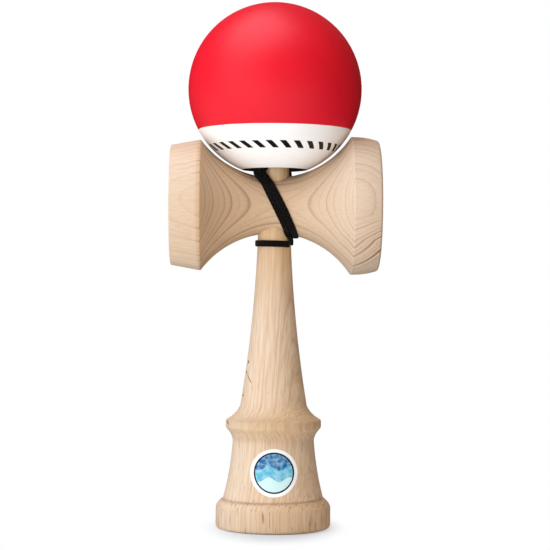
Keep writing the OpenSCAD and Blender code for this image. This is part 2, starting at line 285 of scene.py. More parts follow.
# a smooth line through the stops, with a ring every step
def smoothLine(stops, step):
    points = [p for p, out in stops]
    outs = [out for p, out in stops]
    points = [2 * points[0] - points[1]] + points + [2 * points[-1] - points[-2]]
    line = []
    for i in range(1, len(points) - 2):
        a, b, c, d = points[i - 1:i + 3]
        count = max(1, round((c - b).length / step))
        for k in range(count):
            t = k / count
            p = 0.5 * (2 * b + (c - a) * t + (2 * a - 5 * b + 4 * c - d) * t * t
                       + (3 * b - a - 3 * c + d) * t ** 3)
            line.append((p, outs[i - 1].lerp(outs[i], t).normalized()))
    line.append((points[-2], outs[-1]))
    return line


# how far along the line each of its points lies
def lengthsAlong(line):
    points = [p for p, out in line]
    along = [0.0]
    for a, b in zip(points, points[1:]):
        along.append(along[-1] + (b - a).length)
    return along


# sweeps a flat rounded section along a line; the UV map runs round and along the braid
def sweepBraid(name, line, width, thickness, sides, closed=False):
    count = len(line)
    vertices = []
    for i, (p, out) in enumerate(line):
        before = line[(i - 1) % count if closed else max(i - 1, 0)][0]
        after = line[(i + 1) % count if closed else min(i + 1, count - 1)][0]
        ahead = (after - before).normalized()
        up = (out - out.dot(ahead) * ahead).normalized()
        across = ahead.cross(up)
        for j in range(sides):
            t = 2 * math.pi * j / sides
            c, s = math.cos(t), math.sin(t)
            flat = math.copysign(abs(s) ** braid["flatness"], s)
            vertices.append((p + across * (c * width / 2) + up * (flat * thickness / 2)) * mm)
    along = [length / width for length in lengthsAlong(line)]
    faces, corners = [], []
    for i in range(count if closed else count - 1):
        low, high = i * sides, (i + 1) % count * sides
        here = along[i]
        there = along[i + 1] if i + 1 < count else along[-1] + along[1]
        for j in range(sides):
            k = (j + 1) % sides
            faces.append((low + j, low + k, high + k, high + j))
            u, v = j / sides, (j + 1) / sides
            corners += [(u, here), (v, here), (v, there), (u, there)]
    if not closed:
        faces.append(tuple(reversed(range(sides))))
        faces.append(tuple(range((count - 1) * sides, count * sides)))
        corners += [(0.5, 0)] * sides + [(0.5, along[-1])] * sides
    mesh = bpy.data.meshes.new(name)
    mesh.from_pydata(vertices, [], faces)
    layer = mesh.uv_layers.new(name="braid")
    for loop, uv in zip(layer.data, corners):
        loop.uv = uv
    piece = bpy.data.objects.new(name, mesh)
    bpy.context.scene.collection.objects.link(piece)
    selectOnly(piece)
    bpy.ops.object.shade_smooth_by_angle(angle=math.radians(braid["smoothAngle"]))
    return piece


# a piece of the string, its length and its centre line in metres
def braidPiece(name, stops):
    line = smoothLine(stops, braid["ringStep"])
    piece = sweepBraid(name, line, braid["width"], braid["thickness"], braid["sides"])
    return piece, lengthsAlong(line)[-1] * mm, [tuple(p * mm) for p, out in line]


stringLoop, loopLength, loopPath = braidPiece("stringLoop", loopStops(turnRound))
stringTuck, tuckLength, tuckPath = braidPiece("stringTuck", tuckStops(tuck))
stringBack, backLength, backPath = braidPiece("stringBack", backStops(backRun))

# knot that closes the turn round the handle, a coil of round cord
hitch = {
    "angle": -38, "out": 1.2, "lowZ": 97.7, "highZ": 100.1, "wraps": 3.5, "wrapRadius": 0.45,
    "cord": 0.9, "rings": 90, "sides": 12,
}


def hitchLine(h):
    middle = Vector((cosd(h["angle"]), sind(h["angle"]), 0)) * (shaftAt(h["lowZ"]) + h["out"])
    line = []
    for i in range(h["rings"] + 1):
        t = i / h["rings"]
        a = 360 * h["wraps"] * t
        out = Vector((cosd(a), sind(a), 0))
        z = h["lowZ"] + (h["highZ"] - h["lowZ"]) * t
        line.append((middle + out * h["wrapRadius"] + Vector((0, 0, z)), out))
    return line


stringHitch = sweepBraid("stringHitch", hitchLine(hitch), hitch["cord"], hitch["cord"], hitch["sides"])

# stopper knot under the bead
knot = {"cord": 1.3, "size": 0.9, "rings": 144, "sides": 14}
knot["z"] = bead["z"] - bead["height"] / 2 - bead["gap"] - knot["size"] - knot["cord"] / 2


def knotLine(k):
    line = []
    for i in range(k["rings"]):
        t = 360 * i / k["rings"]
        p = Vector((sind(t) + 2 * sind(2 * t), cosd(t) - 2 * cosd(2 * t), -sind(3 * t))) * k["size"]
        line.append((p + Vector((0, 0, k["z"])), Vector((0, 0, 1))))
    return line


beadKnot = sweepBraid("beadKnot", knotLine(knot), knot["cord"], knot["cord"], knot["sides"], closed=True)
print("string swept:", round((loopLength + tuckLength + backLength) / mm), "mm")


# turned pieces: the outline is drawn point by point and spun
lathe = {"merge": 0.002, "smoothAngle": 32}


def turnPiece(name, outline, centre, axis, steps):
    clearSelection()
    bpy.ops.mesh.primitive_plane_add(size=mm, location=(0, 0, 0))
    piece = bpy.context.object
    piece.name = piece.data.name = name
    bpy.ops.object.mode_set(mode="EDIT")
    bpy.ops.mesh.select_all(action="SELECT")
    bpy.ops.mesh.merge(type="CENTER")
    bpy.ops.transform.translate(value=outline[0])
    for a, b in zip(outline, outline[1:]):
        bpy.ops.mesh.extrude_vertices_move(TRANSFORM_OT_translate={"value": b - a})
    bpy.ops.mesh.select_all(action="SELECT")
    bpy.ops.mesh.spin(steps=steps, angle=2 * math.pi, center=centre, axis=axis)
    bpy.ops.mesh.select_all(action="SELECT")
    bpy.ops.mesh.remove_doubles(threshold=lathe["merge"] * mm)
    bpy.ops.mesh.normals_make_consistent(inside=False)
    bpy.ops.object.mode_set(mode="OBJECT")
    bpy.ops.object.shade_smooth_by_angle(angle=math.radians(lathe["smoothAngle"]))
    return piece


def handleOutline(h):
    footCorner, footTop = (h["footRadius"], 0), (h["footRadius"], h["footHeight"])
    collarLow = (h["collarRadius"], h["collarZ"] - h["collarHeight"] / 2)
    collarHigh = (h["collarRadius"], h["collarZ"] + h["collarHeight"] / 2)
    neckEnd = Vector(collarLow) - Vector(h["neckEnd"]) * h["collarRound"]
    coveStart = Vector(collarHigh) + Vector(h["coveStart"]) * h["collarRound"]
    points = dish(h["footRadius"] - h["footRound"] - h["rimWidth"], h["cupDepth"])
    points += roundCorner((0, 0), footCorner, footTop, h["footRound"])
    points += bow(footTop, h["skirt"], h["shoulderBulge"], count=10)
    points += bow(h["skirt"], h["neck"], h["skirtHollow"])
    points += bow(h["neck"], neckEnd, h["neckHollow"], count=12)
    points += roundCorner(h["neck"], collarLow, collarHigh, h["collarRound"])
    points += roundCorner(collarLow, collarHigh, h["shaft"], h["collarRound"])
    points += bow(coveStart, h["shaft"], h["coveHollow"])
    points += bow(h["shaft"], (h["seatRadius"], seatZ), h["shaftHollow"], count=48)
    points += [Vector((h["spikeRadius"], spikeZ))]
    points += bow((h["spikeEnd"], h["length"] - h["pointHeight"]), (0, h["length"]), h["pointBulge"])
    return [Vector((p.x, 0, p.y)) * mm for p in points]


kenTurned = turnPiece("kenTurned", handleOutline(handle), (0, 0, 0), (0, 0, 1), handle["spinSteps"])


def crosspieceOutline(c):
    def ridgeX(r):
        return math.sqrt(c["saddle"] ** 2 - (c["waist"] + c["saddle"] - r) ** 2)

    end = c["length"] / 2
    smallRim, smallRidge = (c["smallRim"], -end), (c["smallRidge"], -ridgeX(c["smallRidge"]))
    largeRim, largeRidge = (c["largeRim"], end), (c["largeRidge"], ridgeX(c["largeRidge"]))
    count = c["saddleSteps"]
    xs = [smallRidge[1] + (largeRidge[1] - smallRidge[1]) * i / count for i in range(1, count)]
    hollow = [Vector((saddleAt(x), x)) for x in xs]
    points = [Vector((p.x, p.y - end)) for p in dish(c["smallRim"] - c["lip"], c["smallDepth"])]
    points += roundCorner((0, -end), smallRim, smallRidge, c["edgeRound"])
    points += roundCorner(smallRim, smallRidge, hollow[0], c["edgeRound"])
    points += hollow
    way = (Vector(largeRim) - Vector(largeRidge)).normalized()
    wallStart, wallEnd = Vector(largeRidge) + way * c["edgeRound"], Vector(largeRim) - way * c["rimRound"]
    points += roundCorner(hollow[-1], largeRidge, largeRim, c["edgeRound"])
    points += bow(wallStart, wallEnd, -c["wallSwell"])
    points += roundCorner(largeRidge, largeRim, (0, end), c["rimRound"])
    points += [Vector((p.x, end - p.y)) for p in reversed(dish(c["largeRim"] - c["lip"], c["largeDepth"]))]
    return [Vector((p.y, -p.x, c["axisZ"])) * mm for p in points]


crossAxis = Vector((0, 0, crosspiece["axisZ"])) * mm
saradoTurned = turnPiece(
    "saradoTurned", crosspieceOutline(crosspiece), crossAxis, (1, 0, 0), crosspiece["spinSteps"])


# tapered hole for the handle
def boreTaper(piece, c):
    over = c["holeOver"]
    slope = (handle["seatRadius"] - handle["spikeRadius"]) / (spikeZ - seatZ)
    clearSelection()
    bpy.ops.mesh.primitive_cone_add(
        vertices=c["holeSides"], depth=(spikeZ - seatZ + 2 * over) * mm, location=crossAxis,
        radius1=(handle["seatRadius"] + c["holeGap"] + slope * over) * mm,
        radius2=(handle["spikeRadius"] + c["holeGap"] - slope * over) * mm,
    )
    reamer = bpy.context.object
    cut = piece.modifiers.new("taperedHole", "BOOLEAN")
    cut.operation = "DIFFERENCE"
    cut.object = reamer
    selectOnly(piece)
    bpy.ops.object.modifier_apply(modifier=cut.name)
    bpy.data.objects.remove(reamer)
    bpy.ops.object.shade_smooth_by_angle(angle=math.radians(lathe["smoothAngle"]))


boreTaper(saradoTurned, crosspiece)


def ballOutline(b):
    lowest, highest = -math.acos(b["mouth"] / b["radius"]), math.acos(b["flare"] / b["radius"])
    count = b["skinSteps"]
    skin = [lowest + (highest - lowest) * i / count for i in range(count + 1)]
    boreTop = (b["bore"], b["boreEnd"])
    points = [Vector((b["stringHole"], b["boreEnd"]))]
    points += reversed(roundCorner((b["bore"], 0), boreTop, (0, b["boreEnd"]), b["boreRound"]))
    points += [Vector((b["bore"], b["bevel"] - b["mouthDrop"]))]
    points += [Vector((math.cos(t), math.sin(t))) * b["radius"] for t in skin]
    flareCentre = Vector((b["flare"], b["flareTop"] - b["holeRound"]))
    for i in range(1, b["flareSteps"] + 1):
        a = 90 + 90 * i / b["flareSteps"]
        points.append(flareCentre + Vector((cosd(a), sind(a))) * b["holeRound"])
    points.append(points[0])
    return [Vector((p.x, 0, p.y + b["z"])) * mm for p in points]


tamaTurned = turnPiece("tamaTurned", ballOutline(ball), (0, 0, 0), (0, 0, 1), ball["spinSteps"])


def beadOutline(b):
    half = b["height"] / 2
    tilt = math.asin(half / b["radius"])
    count = b["skinSteps"]
    skin = [tilt * (2 * i / count - 1) for i in range(count + 1)]
    points = [Vector((b["hole"], -half))]
    points += [Vector((math.cos(t), math.sin(t))) * b["radius"] for t in skin]
    points += [Vector((b["hole"], half)), Vector((b["hole"], -half))]
    return [Vector((p.x, 0, p.y + b["z"])) * mm for p in points]


beadTurned = turnPiece("beadTurned", beadOutline(bead), (0, 0, 0), (0, 0, 1), bead["spinSteps"])
print("turned pieces spun")


# materials
def addNode(tree, kind, **settings):
    node = tree.nodes.new(kind)
    for key, value in settings.items():
        setattr(node, key, value)
    return node


def feed(tree, socket, value):
    if isinstance(value, bpy.types.NodeSocket):
        tree.links.new(value, socket)
    else:
        socket.default_value = value


def calc(tree, operation, *values):
    node = addNode(tree, "ShaderNodeMath", operation=operation)
    for socket, value in zip(node.inputs, values):
        feed(tree, socket, value)
    return node.outputs[0]


def split(tree, vector):
    node = addNode(tree, "ShaderNodeSeparateXYZ")
    tree.links.new(vector, node.inputs[0])
    return list(node.outputs)


def distance(tree, a, b):
    squares = calc(tree, "ADD", calc(tree, "MULTIPLY", a, a), calc(tree, "MULTIPLY", b, b))
    return calc(tree, "SQRT", squares)


def blendColour(tree, amount, a, b, mode="MIX"):
    node = addNode(tree, "ShaderNodeMix", data_type="RGBA", blend_type=mode)
    feed(tree, node.inputs[0], amount)
    feed(tree, node.inputs[6], a)
    feed(tree, node.inputs[7], b)
    return node.outputs[2]


def ramp(tree, value, stops):
    node = addNode(tree, "ShaderNodeValToRGB")
    elements = node.color_ramp.elements
    while len(elements) < len(stops):
        elements.new(0.5)
    for element, (place, level) in zip(elements, stops):
        element.position = place
        element.color = (level, level, level, 1)
    feed(tree, node.inputs[0], value)
    return node.outputs[0]


# ends are the lowest and highest value going in, then those coming out
def mapRange(tree, value, *ends, kind="LINEAR"):
    node = addNode(tree, "ShaderNodeMapRange", interpolation_type=kind)
    tree.links.new(value, node.inputs[0])
    for socket, end in zip(node.inputs[1:5], ends):
        socket.default_value = end
    return node.outputs[0]


def noise(tree, vector, scale, detail=2.0, dimensions="3D"):
    node = addNode(tree, "ShaderNodeTexNoise", noise_dimensions=dimensions)
    feed(tree, node.inputs["W" if dimensions == "1D" else "Vector"], vector)
    node.inputs["Scale"].default_value = scale
    node.inputs["Detail"].default_value = detail
    return node.outputs[0]


def srgb(r, g, b):
    def linear(v):
        v /= 255
        return v / 12.92 if v <= 0.04045 else ((v + 0.055) / 1.055) ** 2.4
    return (linear(r), linear(g), linear(b), 1)


def newMaterial(name):
    material = bpy.data.materials.new(name)
    material.use_nodes = True
    tree = material.node_tree
    return material, tree, tree.nodes["Principled BSDF"]


def objectPoint(tree):
    return addNode(tree, "ShaderNodeTexCoord").outputs["Object"]


def addBump(tree, shader, height, looks):
    bump = addNode(tree, "ShaderNodeBump")
    bump.inputs["Strength"].default_value = looks["bump"]
    bump.inputs["Distance"].default_value = looks["bumpDepth"] * mm
    tree.links.new(height, bump.inputs["Height"])
    tree.links.new(bump.outputs[0], shader.inputs["Normal"])


# the figure of turned beech: layers across X, grain along Z
growth = {
    "driftAlong": 0.45, "driftScale": 42, "driftDetail": 1.5, "unevenScale": 0.45, "uneven": 2.2,
    "lineShape": ((0, 0.0), (0.55, 0.05), (0.84, 0.32), (0.95, 1.0), (1.0, 0.0)), "faintest": 0.3,
    "fibreAlong": 0.02, "fibreScale": 2600, "fibreDetail": 2.5,
    "fleckAlong": 0.1, "fleckScale": 1500, "fleckDetail": 0.5, "fleckShape": ((0.635, 0.0), (0.72, 1.0)),
    "toneAlong": 0.3, "toneScale": 38, "toneDetail": 2.0,
}


def buildBeechFigure(g):
    group = bpy.data.node_groups.new("beechFigure", "ShaderNodeTree")
    group.interface.new_socket(name="Point", in_out="INPUT", socket_type="NodeSocketVector")
    for name in ("Spacing", "Waver", "Sheet"):
        group.interface.new_socket(name=name, in_out="INPUT", socket_type="NodeSocketFloat")
    for name in ("Line", "Fibre", "Fleck", "Tone"):
        group.interface.new_socket(name=name, in_out="OUTPUT", socket_type="NodeSocketFloat")
    given = addNode(group, "NodeGroupInput").outputs
    made = addNode(group, "NodeGroupOutput").inputs

    def stretchedNoise(kind, sheet=1):
        size = addNode(group, "ShaderNodeCombineXYZ")
        for socket, value in zip(size.inputs, (1, sheet, g[kind + "Along"])):
            feed(group, socket, value)
        point = addNode(group, "ShaderNodeVectorMath", operation="MULTIPLY")
        group.links.new(given["Point"], point.inputs[0])
        group.links.new(size.outputs[0], point.inputs[1])
        return noise(group, point.outputs[0], g[kind + "Scale"], g[kind + "Detail"])

    across = split(group, given["Point"])[0]
    drift = calc(group, "SUBTRACT", stretchedNoise("drift"), 0.5)
    depth = calc(group, "ADD", across, calc(group, "MULTIPLY", drift, given["Waver"]))
    layer = calc(group, "DIVIDE", depth, given["Spacing"])
    uneven = calc(group, "SUBTRACT", noise(group, layer, g["unevenScale"], 1.0, "1D"), 0.5)
    layer = calc(group, "ADD", layer, calc(group, "MULTIPLY", uneven, g["uneven"]))
    shape = ramp(group, calc(group, "FRACT", layer), g["lineShape"])
    chance = addNode(group, "ShaderNodeTexWhiteNoise", noise_dimensions="1D")
    group.links.new(calc(group, "FLOOR", layer), chance.inputs["W"])
    strength = calc(group, "MULTIPLY_ADD", chance.outputs[0], 1 - g["faintest"], g["faintest"])
    group.links.new(calc(group, "MULTIPLY", shape, strength), made["Line"])
    group.links.new(stretchedNoise("fibre", given["Sheet"]), made["Fibre"])
    group.links.new(ramp(group, stretchedNoise("fleck"), g["fleckShape"]), made["Fleck"])
    group.links.new(stretchedNoise("tone"), made["Tone"])
    return group


beechFigure = buildBeechFigure(growth)


# a level that changes along one axis of the piece, given at places in millimetres
def alongPiece(tree, parts, axis, low, high, stops):
    place = calc(tree, "MULTIPLY_ADD", parts[axis], 1 / (high - low) / mm, -low / (high - low))
    return ramp(tree, place, [((at - low) / (high - low), level) for at, level in stops])


# small dark nicks, each with its radius, turn from the front, height, lean, half width and half length
def nickMask(tree, nicks):
    mask = 0.0
    for radius, turn, z, lean, width, length in nicks:
        place = addNode(tree, "ShaderNodeMapping", vector_type="TEXTURE")
        tree.links.new(objectPoint(tree), place.inputs[0])
        place.inputs["Location"].default_value = Vector((radius * sind(turn), -radius * cosd(turn), z)) * mm
        place.inputs["Rotation"].default_value = (0, math.radians(lean), math.radians(turn))
        place.inputs["Scale"].default_value = (width * mm, mm, length * mm)
        reach = addNode(tree, "ShaderNodeVectorMath", operation="LENGTH")
        tree.links.new(place.outputs[0], reach.inputs[0])
        mask = calc(tree, "MAXIMUM", mask, calc(tree, "LESS_THAN", reach.outputs["Value"], 1.0))
    return mask


# a round paper label on the front, with two plain waves inside a thin ring
def paperLabel(tree, p, colour, rough, height):
    x, y, z = split(tree, objectPoint(tree))
    u = calc(tree, "MULTIPLY", x, 1 / mm)
    v = calc(tree, "MULTIPLY_ADD", z, 1 / mm, -p["z"])
    radius = distance(tree, u, v)
    inFront = calc(tree, "LESS_THAN", y, 0)
    onLabel = calc(tree, "MULTIPLY", calc(tree, "LESS_THAN", radius, p["radius"]), inFront)
    wave = calc(tree, "SINE", calc(tree, "MULTIPLY", u, p["waves"]))
    wave = calc(tree, "MULTIPLY_ADD", wave, p["swell"], v)
    face = blendColour(tree, calc(tree, "GREATER_THAN", wave, p["low"]), p["pale"], p["middle"])
    face = blendColour(tree, calc(tree, "GREATER_THAN", wave, p["high"]), face, p["deep"])
    mottle = ramp(tree, noise(tree, objectPoint(tree), p["mottleScale"], 3.0), p["mottle"])
    face = blendColour(tree, mottle, face, p["pale"])
    face = blendColour(tree, calc(tree, "GREATER_THAN", radius, p["ring"]), face, p["paper"])
    face = blendColour(tree, calc(tree, "COMPARE", radius, p["ring"], p["ringWidth"] / 2), face, p["ink"])

    def overWood(wood, paper):
        return calc(tree, "MULTIPLY_ADD", onLabel, calc(tree, "SUBTRACT", paper, wood), wood)

    colour = blendColour(tree, onLabel, colour, face)
    return colour, overWood(rough, p["roughness"]), overWood(height, p["height"])


# what all the beech pieces share
beechFinish = {
    "toneShare": 0.5, "fibreShape": ((0.38, 0.0), (0.72, 1.0)), "creaseShadeShape": ((0.3, 0.35), (0.7, 1.0)),
    "nickAmount": 0.8, "fleckDepth": 0.8, "roughSpread": 0.16,
    "bump": 0.35, "bumpDepth": 0.06, "specular": 0.15,
}


# wood from the figure; axes names the piece's own axes that the layers, their width and the grain follow
def beech(name, looks):
    f = beechFinish
    material, tree, shader = newMaterial(name)
    mapping = addNode(tree, "ShaderNodeMapping")
    tree.links.new(objectPoint(tree), mapping.inputs[0])
    mapping.inputs["Rotation"].default_value = [math.radians(a) for a in looks["turn"]]
    mapping.inputs["Location"].default_value = [v * mm for v in looks["shift"]]
    parts = split(tree, mapping.outputs[0])
    axes = [parts[axis] for axis in looks["axes"]]
    if "bend" in looks:
        bent = calc(tree, "MULTIPLY", *[alongPiece(tree, parts, *run) for run in looks["bend"]])
        axes[0] = calc(tree, "MULTIPLY_ADD", bent, looks["bendDepth"] * mm, axes[0])
    point = addNode(tree, "ShaderNodeCombineXYZ")
    for socket, axis in zip(point.inputs, axes):
        tree.links.new(axis, socket)
    figure = addNode(tree, "ShaderNodeGroup", node_tree=beechFigure)
    tree.links.new(point.outputs[0], figure.inputs["Point"])
    figure.inputs["Spacing"].default_value = looks["spacing"] * mm
    figure.inputs["Waver"].default_value = looks["waver"] * mm
    figure.inputs["Sheet"].default_value = looks["sheet"]
    line, fibre, fleck, tone = [figure.outputs[kind] for kind in ("Line", "Fibre", "Fleck", "Tone")]
    height = calc(tree, "SUBTRACT", fibre, calc(tree, "MULTIPLY", fleck, f["fleckDepth"]))
    rough = calc(tree, "MULTIPLY_ADD", fibre, f["roughSpread"], looks["roughness"] - f["roughSpread"] / 2)
    if "lineAlong" in looks:
        amount = alongPiece(tree, parts, *looks["lineAlong"])
        if "bend" in looks:
            amount = calc(tree, "MULTIPLY_ADD", bent, looks["bendDarker"], amount)
        line = calc(tree, "MULTIPLY", line, amount)
    if "fleckAlong" in looks:
        fleck = calc(tree, "MULTIPLY", fleck, alongPiece(tree, parts, *looks["fleckAlong"]))
    # random tone plus runs along the piece; the runs add warmth and, on the handle and crosspiece, painted
    # shade
    toneAndShade = tone
    if "toneAndShadeAlong" in looks:
        toneAndShade = calc(tree, "MULTIPLY", tone, f["toneShare"])
        for run in looks["toneAndShadeAlong"]:
            toneAndShade = calc(tree, "ADD", toneAndShade, alongPiece(tree, parts, *run))
    colour = blendColour(tree, toneAndShade, looks["pale"], looks["warm"])
    colour = blendColour(tree, calc(tree, "MULTIPLY", line, looks["lineAmount"]), colour, looks["line"])
    strands = ramp(tree, fibre, f["fibreShape"])
    colour = blendColour(tree, calc(tree, "MULTIPLY", strands, looks["fibreAmount"]), colour, looks["line"])
    colour = blendColour(tree, calc(tree, "MULTIPLY", fleck, looks["fleckAmount"]), colour, looks["fleck"])
    # painted shade: darker bands in the creases and along the foot's bottom edge, in the fleck colour
    if "creaseShade" in looks:
        creaseShadeLevel = alongPiece(tree, parts, *looks["creaseShade"])
        uneven = ramp(tree, tone, f["creaseShadeShape"])
        colour = blendColour(tree, calc(tree, "MULTIPLY", creaseShadeLevel, uneven), colour, looks["fleck"])
    if "nicks" in looks:
        nicked = calc(tree, "MULTIPLY", nickMask(tree, looks["nicks"]), f["nickAmount"])
        colour = blendColour(tree, nicked, colour, looks["nick"])
    if "label" in looks:
        colour, rough, height = paperLabel(tree, looks["label"], colour, rough, height)
    tree.links.new(colour, shader.inputs["Base Color"])
    tree.links.new(rough, shader.inputs["Roughness"])
    addBump(tree, shader, height, f)
    shader.inputs["Specular IOR Level"].default_value = f["specular"]
    return material


# each run gives an axis, the places where it starts and ends, and levels at places between
handleBeech = beech("handleBeech", {
    "turn": (0, 0.6, 35), "shift": (3, 1, 0), "axes": (0, 1, 2), "spacing": 1.5, "waver": 3.0, "sheet": 0.2,
    "pale": srgb(233, 218, 202), "warm": srgb(213, 180, 137), "line": srgb(170, 122, 79),
    "fleck": srgb(138, 92, 58), "nick": srgb(92, 66, 48),
    "lineAmount": 0.36, "fibreAmount": 0.38, "fleckAmount": 0.6, "roughness": 0.55,
    # painted shade: warmer and darker from about 80 mm up, under the crosspiece and the ball, and the second
    # run warmer towards the right, the side away from the light; the foot and collar bands are warmer too
    "toneAndShadeAlong": (
        (2, 0, 160, ((0, 0.12), (8, 0.12), (12, 0.0), (28, 0.0), (33, 0.24), (38, 0.24), (46, 0.08),
                     (75, 0.06), (92, 0.36), (102, 0.5), (160, 0.5))),
        (0, -6, 24, ((-6, 0.0), (0, 0.0), (8, 0.14), (16, 0.3), (24, 0.36))),
    ),
    "fleckAlong": (2, 0, 160, ((0, 1.0), (10, 0.9), (13, 0.3), (60, 0.25), (90, 0.12), (160, 0.1))),
    # painted shade in the creases: the foot's bottom edge, the skirt's crease and both edges of the collar
    "creaseShade": (2, 0, 40, ((0, 0.3), (0.9, 0.1), (9.4, 0.08), (10.1, 0.6), (10.7, 0.0), (29.6, 0.0),
                           (31, 0.14), (33.5, 0.05), (34.6, 0.0), (36.8, 0.12), (39, 0.0))),
    "nicks": (
        (9.25, -71, 57.1, 0, 0.7, 0.55), (9.72, -73, 53.6, 0, 0.65, 0.5),
        (10.0, -58.8, 51.6, -49.8, 0.2, 2.6), (10.9, -75, 45.6, 0, 0.8, 0.35),
        (16.4, -73, 36.4, 35, 0.9, 0.45),
    ),
    "label": {
        "z": 20.2, "radius": 8.0, "ring": 6.6, "ringWidth": 0.5,
        "waves": 0.9, "swell": 0.8, "low": -2.2, "high": 1.6,
        "pale": srgb(206, 238, 240), "middle": srgb(92, 182, 214), "deep": srgb(24, 104, 166),
        "paper": srgb(246, 248, 250), "ink": srgb(16, 18, 22),
        "mottleScale": 700, "mottle": ((0.4, 0.0), (0.7, 0.5)), "roughness": 0.35, "height": 1.5,
    },
})
crossBeech = beech("crossBeech", {
    "turn": (2, 0, 3), "shift": (0, 0, 0), "axes": (1, 2, 0), "spacing": 1.5, "waver": 2.0, "sheet": 1.0,
    "pale": srgb(226, 210, 192), "warm": srgb(203, 170, 134), "line": srgb(134, 84, 49),
    "fleck": srgb(160, 118, 84),
    "lineAmount": 0.9, "fibreAmount": 0.14, "fleckAmount": 0.08, "roughness": 0.55,
    "lineAlong": (0, -36, 36, ((-36, 0.3), (-26, 0.35), (-24.5, 1.0), (-4, 0.7), (18, 0.45), (26, 0.5),
                               (36, 0.45))),
    # partly painted shade: warmer over the left saddle, which faces away from the light, and partly the
    # wood's own warmer tone there
    "toneAndShadeAlong": (
        (0, -36, 36, ((-36, 0.2), (-26, 0.25), (-25, 0.6), (-4, 0.55), (10, 0.4), (26, 0.15), (36, 0.2))),
    ),
    "bend": (
        (0, 0, 36, ((0, 0.0), (23, 0.0), (36, 1.0))),
        (2, 85, 112, ((85, 1.0), (98, 1.0), (106, 0.0))),
    ),
    "bendDepth": 6.5, "bendDarker": 1.2,
})
beadBeech = beech("beadBeech", {
    "turn": (0, 0, 0), "shift": (0, 0, 0), "axes": (0, 1, 2), "spacing": 1.0, "waver": 1.5, "sheet": 1.0,
    "pale": srgb(226, 190, 140), "warm": srgb(206, 164, 112), "line": srgb(166, 118, 72),
    "fleck": srgb(140, 96, 60), "lineAmount": 0.4, "fibreAmount": 0.3, "fleckAmount": 0.4, "roughness": 0.5,
})

# ball paint: red over white, with an even ring of plain slanted bars on the white, and painted shade in the
# bore
paint = {
    "red": srgb(230, 14, 40), "white": srgb(251, 250, 249), "ink": srgb(18, 18, 20), "wood": srgb(38, 20, 17),
    "lineDrop": 14.2, "lineBlur": 0.06, "wobble": 0.16, "wobbleScale": 90,
    "ringDrop": 20.6, "ringHeight": 2.3, "bars": 30, "barShare": 0.46, "barSlant": 0.55,
    "wear": (0.35, 0.30, 0.28, 1), "wearAmount": 0.08, "wearScale": 60, "pastMouth": 0.02, "pastRoof": 0.1,
    "gritScale": 1400, "roughness": 0.4, "roughSpread": 0.12,
    "bump": 0.12, "bumpDepth": 0.04, "specular": 0.34,
}


def ballPaint(p):
    material, tree, shader = newMaterial("ballPaint")
    point = objectPoint(tree)
    x, y, z = split(tree, point)
    level = calc(tree, "MULTIPLY_ADD", z, 1 / mm, -ball["z"])  # height above the ball's centre
    wobble = noise(tree, point, p["wobbleScale"], 1.0)
    edge = calc(tree, "ADD", level, calc(tree, "MULTIPLY_ADD", wobble, p["wobble"], -p["wobble"] / 2))
    isRed = mapRange(tree, edge, -p["lineDrop"] - p["lineBlur"], -p["lineDrop"] + p["lineBlur"])
    inRing = calc(tree, "COMPARE", level, -p["ringDrop"], p["ringHeight"] / 2)
    turns = calc(tree, "MULTIPLY", calc(tree, "ARCTAN2", y, x), p["bars"] / (2 * math.pi))
    slant = calc(tree, "MULTIPLY", calc(tree, "ADD", level, p["ringDrop"]), p["barSlant"] / p["ringHeight"])
    inBar = calc(tree, "LESS_THAN", calc(tree, "FRACT", calc(tree, "ADD", turns, slant)), p["barShare"])
    nearAxis = calc(tree, "LESS_THAN", distance(tree, x, y), (ball["mouth"] + p["pastMouth"]) * mm)
    underRoof = calc(tree, "LESS_THAN", level, ball["boreEnd"] + p["pastRoof"])
    wear = calc(tree, "MULTIPLY", noise(tree, point, p["wearScale"]), p["wearAmount"])
    colour = blendColour(tree, calc(tree, "MULTIPLY", inRing, inBar), p["white"], p["ink"])
    colour = blendColour(tree, isRed, colour, p["red"])
    colour = blendColour(tree, wear, colour, p["wear"], "MULTIPLY")
    # painted shade: the bore and its white mouth bevel are coloured near-black red-brown
    colour = blendColour(tree, calc(tree, "MULTIPLY", nearAxis, underRoof), colour, p["wood"])
    tree.links.new(colour, shader.inputs["Base Color"])
    grit = noise(tree, point, p["gritScale"])
    rough = calc(tree, "MULTIPLY_ADD", grit, p["roughSpread"], p["roughness"])
    tree.links.new(rough, shader.inputs["Roughness"])
    addBump(tree, shader, grit, p)
    shader.inputs["Specular IOR Level"].default_value = p["specular"]
    return material


# black braid: two sets of strands cross on the UV map
yarn = {
    "dark": srgb(7, 6, 6), "light": srgb(22, 19, 18), "strandsRound": 8.0, "strandsAlong": 3.0,
    "fuzzScale": 5200, "fuzzHeight": 0.5, "roughness": 0.68, "roughSpread": 0.2,
    "bump": 0.7, "bumpDepth": 0.18, "specular": 0.15, "sheen": 0.05,
}


